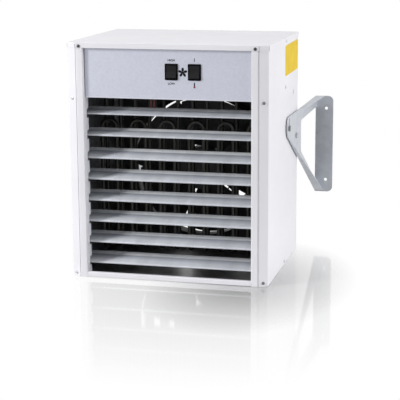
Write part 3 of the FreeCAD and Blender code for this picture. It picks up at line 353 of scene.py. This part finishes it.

# Louvre slats: eight strips with a raised rear edge, which turn on riveted pins.
# Bright rolled aluminium with a fine grain along its length and faint smears across it; across
# each slat painted shade darkens the lip, the slope and the crease, and a painted highlight
# brightens the raised rear edge.

slat_count = 8
slat_front = -0.1435
slat_rear = -0.097
lip_painted_shade = (0.5, 0.52, 0.57)
face_tone = (0.87, 0.9, 0.95)
slope_painted_shade = (0.68, 0.71, 0.78)
crease_painted_shade = (0.45, 0.47, 0.525)
edge_painted_highlight = (0.94, 0.955, 0.975)
bright_aluminium, tree, shader, place = new_finish("bright_aluminium")
split = tree.nodes.new("ShaderNodeSeparateXYZ")
tree.links.new(place, split.inputs["Vector"])
across = tree.nodes.new("ShaderNodeMapRange")
across.inputs["From Min"].default_value = slat_front
across.inputs["From Max"].default_value = slat_rear
tree.links.new(split.outputs["Y"], across.inputs["Value"])
smeared = tree.nodes.new("ShaderNodeMix")
smeared.data_type = "RGBA"
smeared.blend_type = "MULTIPLY"
smeared.inputs["Factor"].default_value = 1.0
# Tones across each slat, from lip to rear edge: painted shade on lip, slope and crease, painted
# highlight on the rear edge.
rolled = add_ramp(tree, across.outputs["Result"], lip_painted_shade, face_tone, smeared.inputs["A"],
                  start=0.03, end=0.06)
for spot, tone in ((0.36, face_tone), (0.55, slope_painted_shade), (0.735, crease_painted_shade),
                   (0.79, edge_painted_highlight)):
    rolled.color_ramp.elements.new(spot).color = (*tone, 1.0)
smears = add_noise(tree, place, scale=50.0, detail=4.0, stretch=(1.0, 0.2, 0.2))
add_ramp(tree, smears, (0.88, 0.88, 0.88), (1.0, 1.0, 1.0), smeared.inputs["B"])
tree.links.new(smeared.outputs["Result"], shader.inputs["Base Color"])
add_gloss(tree, shader, smears, smooth=0.4, rough=0.52)
shader.inputs["Metallic"].default_value = 0.25
add_grain(tree, shader, place, scale=260.0, strength=0.06, height=0.0002, detail=3.0,
          stretch=(0.01, 1.0, 1.0))
dress(["louvre_%d" % (slat + 1) for slat in range(slat_count)], bright_aluminium)

# Heating elements: six tubes folded twice, hung from a plate on the shelf.
# Stainless sheath darkened unevenly by heat, ceramic insulators where the tubes pass the plate,
# and brass terminal studs.

element_count = 6
element_steel, tree, shader, place = new_finish("heat_darkened_steel")
add_mottle(tree, shader, place, scale=16.0, dark=(0.014, 0.0135, 0.011),
           light=(0.03, 0.029, 0.025), detail=4.0)
add_gloss(tree, shader, add_noise(tree, place, scale=90.0, detail=3.0), smooth=0.34, rough=0.48)
shader.inputs["Metallic"].default_value = 0.5
add_grain(tree, shader, place, scale=700.0, strength=0.05, height=0.0002)
dress(["heating_element_%d" % (tube + 1) for tube in range(element_count)], element_steel)

ceramic, tree, shader, place = new_finish("white_ceramic")
add_mottle(tree, shader, place, scale=120.0, dark=(0.68, 0.66, 0.61), light=(0.76, 0.74, 0.69))
shader.inputs["Roughness"].default_value = 0.28
add_grain(tree, shader, place, scale=900.0, strength=0.04, height=0.0002)
dress(["element_insulators"], ceramic)

stud_brass, tree, shader, place = new_finish("stud_brass")
add_mottle(tree, shader, place, scale=150.0, dark=(0.42, 0.29, 0.1), light=(0.55, 0.4, 0.16))
shader.inputs["Metallic"].default_value = 0.95
shader.inputs["Roughness"].default_value = 0.34
dress(["element_terminals"], stud_brass)

# Electrical compartment: contactor and terminal block on their rail, the cable gland, and the
# overheat cut-out under the shelf with its sleeves and leads. Moulded pieces in brown phenolic,
# red vinyl, dark and pale nylon, with a fine mould grain.

for name, dark, light, roughness, pieces in (
        ("brown_phenolic", (0.035, 0.018, 0.01), (0.055, 0.028, 0.015), 0.38,
         ["overheat_cutout"]),
        ("contactor_nylon", (0.012, 0.012, 0.013), (0.022, 0.022, 0.024), 0.5, ["contactor"]),
        ("terminal_nylon", (0.46, 0.44, 0.38), (0.54, 0.52, 0.46), 0.45, ["terminal_block"]),
        ("sleeve_vinyl", (0.085, 0.007, 0.0065), (0.12, 0.011, 0.0095), 0.4,
         ["cutout_sleeves"]),
        ("lead_insulation", (0.012, 0.012, 0.013), (0.02, 0.02, 0.022), 0.44, ["cutout_leads"]),
        ("gland_nylon", (0.012, 0.012, 0.013), (0.02, 0.02, 0.022), 0.46,
         ["cable_gland", "gland_nut"])):
    moulding, tree, shader, place = new_finish(name)
    add_mottle(tree, shader, place, scale=160.0, dark=dark, light=light)
    shader.inputs["Roughness"].default_value = roughness
    add_grain(tree, shader, place, scale=1500.0, strength=0.08, height=0.0002)
    dress(pieces, moulding)

# Fan: a wire guard on the rear panel, which carries the outer-rotor motor and its five blades.
# Steel with a black coat; the guard's dipped coat is glossier than the motor's.

for name, dark, light, roughness, pieces in (
        ("guard_coat", (0.012, 0.012, 0.013), (0.024, 0.024, 0.025), 0.34, ["fan_guard"]),
        ("motor_coat", (0.014, 0.014, 0.015), (0.028, 0.028, 0.03), 0.5,
         ["fan_motor", "fan_impeller"])):
    coat, tree, shader, place = new_finish(name)
    add_mottle(tree, shader, place, scale=60.0, dark=dark, light=light)
    shader.inputs["Roughness"].default_value = roughness
    add_grain(tree, shader, place, scale=1100.0, strength=0.08, height=0.0003)
    dress(pieces, coat)

# Wall brackets: pressed webs with tapering flanges and a drilled wall flange.
# Thicker galvanized steel with a soft, large spangle, bolted through the side panels.

bracket_zinc, tree, shader, place = new_finish("bracket_galvanized_steel")
add_spangle(tree, shader, place, scale=70.0, dark=(0.5, 0.524, 0.568),
            light=(0.55, 0.574, 0.618), smooth=0.38, rough=0.48, metal=0.4)
add_grain(tree, shader, place, scale=300.0, strength=0.06, height=0.0003, detail=3.0)
dress(["right_bracket", "left_bracket"], bracket_zinc)

# Fasteners: bolts, washers and nuts of the brackets and the pivot pins of the slats.
# Zinc-plated steel, a little uneven in tone and gloss; the clamp bolts have a dull dark chromate.

for name, dark, light, pieces in (
        ("zinc_plated_steel", (0.4, 0.41, 0.425), (0.56, 0.57, 0.585),
         ["bracket_pivot_bolts", "bracket_washers", "bracket_nuts", "louvre_pivot_pins"]),
        ("dark_plated_steel", (0.18, 0.18, 0.19), (0.25, 0.25, 0.262),
         ["bracket_clamp_bolts"])):
    plated_steel, tree, shader, place = new_finish(name)
    add_mottle(tree, shader, place, scale=220.0, dark=dark, light=light)
    add_gloss(tree, shader, add_noise(tree, place, scale=400.0), smooth=0.26, rough=0.38)
    shader.inputs["Metallic"].default_value = 0.95
    dress(pieces, plated_steel)

# Screws: cross-recessed pan heads that hold the frame, the lid, the trays, the rear panel and
# the guard. Zinc-plated steel: bright on the sides, the rear and the left bevel, greyed by
# painted shade on the right bevel, with a dull dark chromate on the guard, and the same darkest
# tone as painted shade on the lid's front lip.

shank_radius = 0.0016
shank_length = 0.007
head_radius = 0.0031
head_rim = 0.0008
head_height = 0.0018
head_dome = [(0.0027, 0.0014), (0.0019, 0.0017)]
head_segments = 24
recess_arm = (0.0036, 0.0009, 0.0026)
recess_taper = 0.55
turn_start, turn_step, turn_swing = 25, 50, 35

bm = bmesh.new()
half_section = [(0.0, -shank_length), (shank_radius, -shank_length), (shank_radius, 0.0),
                (head_radius, 0.0), (head_radius, head_rim), *head_dome, (0.0, head_height)]
corners = [bm.verts.new((radius, 0, level)) for radius, level in half_section]
edges = [bm.edges.new(pair) for pair in zip(corners, corners[1:])]
bmesh.ops.spin(bm, geom=corners + edges, cent=(0, 0, 0), axis=(0, 0, 1), dvec=(0, 0, 0),
               angle=math.radians(360), steps=head_segments, use_merge=True,
               use_duplicate=False)
bmesh.ops.remove_doubles(bm, verts=bm.verts[:], dist=1e-6)
bmesh.ops.recalc_face_normals(bm, faces=bm.faces[:])
blank_mesh = bpy.data.meshes.new("screw_blank")
bm.to_mesh(blank_mesh)
bm.free()

bm = bmesh.new()
for turn in (0, 90):
    arm = bmesh.ops.create_cube(bm, size=1.0)
    shape = Matrix.Rotation(math.radians(turn), 4, "Z") @ Matrix.Diagonal((*recess_arm, 1))
    bmesh.ops.transform(bm, matrix=shape, verts=arm["verts"])
    deep = [vert for vert in arm["verts"] if vert.co.z < 0]
    bmesh.ops.scale(bm, vec=(recess_taper, recess_taper, 1), verts=deep)
bmesh.ops.translate(bm, verts=bm.verts[:], vec=(0, 0, head_height))
recess_mesh = bpy.data.meshes.new("screw_recess")
bm.to_mesh(recess_mesh)
bm.free()

blank = bpy.data.objects.new("screw_blank", blank_mesh)
recess = bpy.data.objects.new("screw_recess", recess_mesh)
bpy.context.scene.collection.objects.link(blank)
bpy.context.scene.collection.objects.link(recess)
cut = blank.modifiers.new("recess", "BOOLEAN")
cut.operation = "DIFFERENCE"
cut.solver = "EXACT"
cut.use_self = True
cut.object = recess
bpy.context.view_layer.update()
cut_blank = blank.evaluated_get(bpy.context.evaluated_depsgraph_get())
screw_form = bpy.data.meshes.new_from_object(cut_blank)
bpy.data.objects.remove(blank)
bpy.data.objects.remove(recess)

screw_finishes = []
for name, dark, light in (
        ("darkest_screw_zinc", (0.05, 0.05, 0.054), (0.09, 0.09, 0.096)),
        ("painted_shade_screw_zinc", (0.15, 0.15, 0.16), (0.22, 0.22, 0.23)),
        ("bright_screw_zinc", (0.5, 0.5, 0.515), (0.6, 0.6, 0.615))):
    screw_zinc, tree, shader, place = new_finish(name)
    add_mottle(tree, shader, place, scale=300.0, dark=dark, light=light)
    shader.inputs["Metallic"].default_value = 0.7
    shader.inputs["Roughness"].default_value = 0.4
    add_grain(tree, shader, place, scale=1500.0, strength=0.06, height=0.0002)
    screw_finishes.append(screw_zinc)

# Each row gives the right-hand seat, the way the head faces, and the finish on the right and
# on the left.
darkest, painted_shade_grey, bright = range(len(screw_finishes))
bevel_slope, bevel_width = 8, 17
bevel_turn = math.atan2(bevel_slope, bevel_width)
bevel_way = Vector((math.sin(bevel_turn), -math.cos(bevel_turn), 0))
front_way = Vector((0, -1, 0))
side_way = Vector((1, 0, 0))
rear_way = Vector((0, 1, 0))
lid_level = 0.4535
fan_level = 0.177
guard_reach = 0.171 * math.sqrt(0.5)
screw_rows = {
    # The right bevel's screws are greyed as painted shade; the left bevel's are bright.
    "bevel_screws": [(Vector((0.1875, -0.158, level)), bevel_way, (painted_shade_grey, bright))
                     for level in (0.007, 0.353)],
    # The lid's front-lip screws take the darkest tone as painted shade.
    "cover_screws": [(Vector((0.1715, -0.1631, lid_level)), front_way, (darkest, darkest)),
                     (Vector((0.1971, 0.016, lid_level)), side_way, (bright, bright)),
                     (Vector((0.186, 0.1631, lid_level)), rear_way, (bright, bright))],
    "side_screws": [(Vector((0.196, 0.016, level)), side_way, (bright, bright))
                    for level in (0.007, 0.362)],
    "rear_screws": [(Vector((0.186, 0.162, level)), rear_way, (bright, bright))
                    for level in (0.0885, 0.2655)],
    "guard_screws": [(Vector((guard_reach, 0.163, fan_level + rise)), rear_way, (darkest, darkest))
                     for rise in (-guard_reach, guard_reach)],
}
for group, row in screw_rows.items():
    bm = bmesh.new()
    for number, (seat, way, skins) in enumerate(row):
        for side, skin in zip((1, -1), skins):
            first_vert = len(bm.verts)
            first_face = len(bm.faces)
            bm.from_mesh(screw_form)
            bm.verts.ensure_lookup_table()
            bm.faces.ensure_lookup_table()
            for face in bm.faces[first_face:]:
                face.material_index = skin
            move = Matrix.Translation((side * seat.x, seat.y, seat.z))
            outward = Vector((side * way.x, way.y, way.z))
            aim = outward.to_track_quat("Z", "Y").to_matrix().to_4x4()
            turn = math.radians(turn_start + turn_step * number + turn_swing * side)
            tighten = Matrix.Rotation(turn, 4, "Z")
            bmesh.ops.transform(bm, matrix=move @ aim @ tighten, verts=bm.verts[first_vert:])
    mesh = bpy.data.meshes.new("cross_" + group)
    for finish in screw_finishes:
        mesh.materials.append(finish)
    bm.to_mesh(mesh)
    bm.free()
    piece = bpy.data.objects.new("cross_" + group, mesh)
    bpy.context.scene.collection.objects.link(piece)
    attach(piece, "casing")
    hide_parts(group)

# Side plate: a plain yellow vinyl sticker high on the right side panel.
# Die-cut with round corners, a film a quarter of a millimetre thick.

plate_low = Vector((0.19605, 0.015, 0.384))
plate_high = Vector((0.1963, 0.157, 0.4445))
plate_slant = math.radians(0.7)
corner_radius = 0.003
corner_segments = 6
plate_middle = (plate_low + plate_high) / 2
plate_size = plate_high - plate_low
bm = bmesh.new()
bmesh.ops.create_cube(bm, size=1.0)
shape = Matrix.Translation(plate_middle) @ Matrix.Diagonal((*plate_size, 1))
bmesh.ops.transform(bm, matrix=shape, verts=bm.verts[:])
short_edges = [edge for edge in bm.edges
               if abs(edge.verts[0].co.x - edge.verts[1].co.x) > plate_size.x / 2]
bmesh.ops.bevel(bm, geom=short_edges, offset=corner_radius, offset_type="OFFSET",
                affect="EDGES", segments=corner_segments, profile=0.5, material=-1)
bmesh.ops.rotate(bm, cent=plate_middle, matrix=Matrix.Rotation(plate_slant, 3, "X"),
                 verts=bm.verts[:])
bmesh.ops.recalc_face_normals(bm, faces=bm.faces[:])
mesh = bpy.data.meshes.new("side_sticker")
bm.to_mesh(mesh)
bm.free()
yellow_vinyl, tree, shader, place = new_finish("yellow_vinyl")
add_mottle(tree, shader, place, scale=30.0, dark=(0.72, 0.5, 0.012), light=(0.78, 0.56, 0.02))
shader.inputs["Roughness"].default_value = 0.55
shader.inputs["Specular IOR Level"].default_value = 0.2
add_grain(tree, shader, place, scale=500.0, strength=0.04, height=0.0002)
mesh.materials.append(yellow_vinyl)
sticker = bpy.data.objects.new("side_sticker", mesh)
bpy.context.scene.collection.objects.link(sticker)
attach(sticker, "casing")

# Studio floor: a white sweep that mirrors the heater faintly close to its foot.
# It shows white to the camera and to gloss, except in an oval round the heater's right front
# corner, where its grey face shows the heater's real shadow and a painted shade.

floor_radius = 14.0
floor_segments = 64
floor_drop = 0.0006
painted_shade_core = 0.75
white_in_painted_shade = 0.17
mirror_strength = 0.34
bm = bmesh.new()
bmesh.ops.create_circle(bm, cap_ends=True, radius=floor_radius, segments=floor_segments)
bmesh.ops.translate(bm, verts=bm.verts[:], vec=(0, 0, -floor_drop))
mesh = bpy.data.meshes.new("floor")
bm.to_mesh(mesh)
bm.free()
floor_white, tree, shader, place = new_finish("floor_white")
shader.inputs["Base Color"].default_value = (0.4, 0.4, 0.4, 1)
shader.inputs["Roughness"].default_value = 0.9


def add_seen(tree):
    """Value that is 1 for what the camera sees, directly or by gloss or glass, and else 0."""
    path = tree.nodes.new("ShaderNodeLightPath")
    direct = tree.nodes.new("ShaderNodeMath")
    direct.operation = "ADD"
    tree.links.new(path.outputs["Is Camera Ray"], direct.inputs[0])
    tree.links.new(path.outputs["Is Glossy Ray"], direct.inputs[1])
    seen = tree.nodes.new("ShaderNodeMath")
    seen.operation = "ADD"
    seen.use_clamp = True
    tree.links.new(direct.outputs["Value"], seen.inputs[0])
    tree.links.new(path.outputs["Is Transmission Ray"], seen.inputs[1])
    return seen.outputs["Value"]


def add_fade(tree, vector, width, depth, across, ahead):
    """Value that falls from 1 at a point of the floor to 0 at the edge of an oval round it."""
    spread = tree.nodes.new("ShaderNodeMapping")
    spread.inputs["Scale"].default_value = (1 / width, 1 / depth, 1)
    spread.inputs["Location"].default_value = (-across / width, -ahead / depth, 0)
    tree.links.new(vector, spread.inputs["Vector"])
    fade = tree.nodes.new("ShaderNodeTexGradient")
    fade.gradient_type = "SPHERICAL"
    tree.links.new(spread.outputs["Vector"], fade.inputs["Vector"])
    return fade.outputs["Fac"]


def add_mix(tree, share, under, over):
    """Shader that goes from one to another by a value."""
    mix = tree.nodes.new("ShaderNodeMixShader")
    tree.links.new(share, mix.inputs["Fac"])
    tree.links.new(under, mix.inputs[1])
    tree.links.new(over, mix.inputs[2])
    return mix.outputs["Shader"]


def add_product(tree, value):
    """Product of a value and a second one, clamped between 0 and 1."""
    product = tree.nodes.new("ShaderNodeMath")
    product.operation = "MULTIPLY"
    product.use_clamp = True
    tree.links.new(value, product.inputs[0])
    return product


# The oval lets the floor's grey face through near the heater: a painted shade over its real shadow.
shade = add_fade(tree, place, width=0.2, depth=0.34, across=0.16, ahead=-0.13)
white_share = tree.nodes.new("ShaderNodeMapRange")
white_share.inputs["From Max"].default_value = painted_shade_core
white_share.inputs["To Min"].default_value = 1.0
white_share.inputs["To Max"].default_value = white_in_painted_shade
tree.links.new(shade, white_share.inputs["Value"])
seen_white = add_product(tree, add_seen(tree))
tree.links.new(white_share.outputs["Result"], seen_white.inputs[1])
glow = tree.nodes.new("ShaderNodeEmission")
glow.inputs["Strength"].default_value = 1.0
sweep = add_mix(tree, seen_white.outputs["Value"], shader.outputs["BSDF"],
                glow.outputs["Emission"])
mirror = tree.nodes.new("ShaderNodeBsdfGlossy")
mirror.inputs["Color"].default_value = (1.0, 1.0, 1.0, 1)
mirror.inputs["Roughness"].default_value = 0.06
foot = add_fade(tree, place, width=0.62, depth=0.68, across=0.08, ahead=-0.06)
mirrored = add_product(tree, foot)
mirrored.inputs[1].default_value = mirror_strength
polished = add_mix(tree, mirrored.outputs["Value"], sweep, mirror.outputs["BSDF"])
tree.links.new(polished, tree.nodes["Material Output"].inputs["Surface"])
mesh.materials.append(floor_white)
floor = bpy.data.objects.new("floor", mesh)
bpy.context.scene.collection.objects.link(floor)

# Studio light: a white surround that lights the heater only a little, and three soft boxes.
# The front box stands low at the left, from where it reaches the raised rear edges of the slats.

world = bpy.data.worlds.new("studio")
bpy.context.scene.world = world
world.use_nodes = True
tree = world.node_tree
room_light = tree.nodes["Background"]
room_light.inputs["Color"].default_value = (1.0, 1.0, 1.0, 1)
room_light.inputs["Strength"].default_value = 0.16
backdrop = tree.nodes.new("ShaderNodeBackground")
backdrop.inputs["Color"].default_value = (1.0, 1.0, 1.0, 1)
backdrop.inputs["Strength"].default_value = 1.0
surround = add_mix(tree, add_seen(tree), room_light.outputs["Background"],
                   backdrop.outputs["Background"])
tree.links.new(surround, tree.nodes["World Output"].inputs["Surface"])

for name, stand, target, width, power in (
        ("front_box", Vector((-2.2, -1.75, 1.35)), Vector((0, 0, 0.2)), 0.65, 77.0),
        ("side_box", Vector((2.65, -0.4, 0.9)), Vector((0.1, 0, 0.2)), 1.6, 54.0),
        ("top_box", Vector((0.0, -0.2, 2.6)), Vector((0, 0, 0.2)), 1.6, 19.0)):
    soft_box = bpy.data.lights.new(name, "AREA")
    soft_box.size = width
    soft_box.energy = power
    lamp = bpy.data.objects.new(name, soft_box)
    lamp.location = stand
    lamp.rotation_euler = (target - stand).to_track_quat("-Z", "Y").to_euler()
    bpy.context.scene.collection.objects.link(lamp)

# Camera: a long lens in front of the heater, to the right and a little above it.
# It is rolled by a third of a degree.

eye = Vector((0.654, -2.5244, 0.6824))
sight = Vector((0.06505, -0.162, 0.16487))
roll = math.radians(-0.331)
ahead = (sight - eye).normalized()
sideways = ahead.cross(Vector((0, 0, 1))).normalized()
upright = sideways.cross(ahead)
right = math.cos(roll) * sideways + math.sin(roll) * upright
top = right.cross(ahead)
lens = bpy.data.cameras.new("camera")
lens.sensor_width = 36.0
lens.lens = 117.65
camera = bpy.data.objects.new("camera", lens)
camera.matrix_world = Matrix((
    (right.x, top.x, -ahead.x, eye.x),
    (right.y, top.y, -ahead.y, eye.y),
    (right.z, top.z, -ahead.z, eye.z),
    (0, 0, 0, 1)))
bpy.context.scene.collection.objects.link(camera)
bpy.context.scene.camera = camera
bpy.context.scene.view_settings.view_transform = "Standard"
